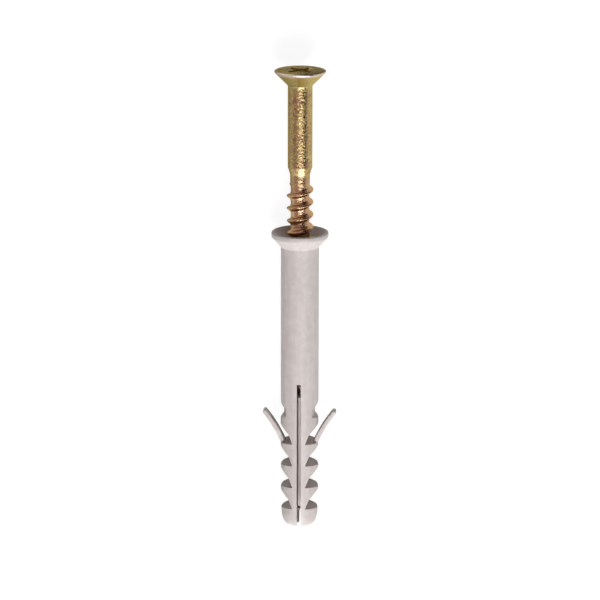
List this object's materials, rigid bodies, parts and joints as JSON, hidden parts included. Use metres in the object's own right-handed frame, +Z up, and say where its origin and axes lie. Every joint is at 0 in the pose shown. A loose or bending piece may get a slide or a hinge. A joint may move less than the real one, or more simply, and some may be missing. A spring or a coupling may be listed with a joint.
{
  "type": "frame fixing",
  "caption": "Nylon frame fixing with a countersunk collar, slit barbed legs and spring wings, holding a partly driven countersunk steel screw.",
  "frame": {"origin": "centre of the collar's top face, on the fixing's axis", "axes": "+Y along the fixing's axis towards the screw's head, +Z straight up as it lies on a table, with the front slit turned 18 degrees from it towards -X, and +X towards the raised wing"},
  "size_m": [0.0194, 0.123, 0.015],
  "materials": {
    "moulded_nylon": "satin, as moulded",
    "yellow_zinc_steel": "zinc plated, yellow passivated"
  },
  "bodies": {
    "root": {"nylon_plug": "moulded_nylon", "steel_screw": "yellow_zinc_steel"}
  },
  "joints": []
}
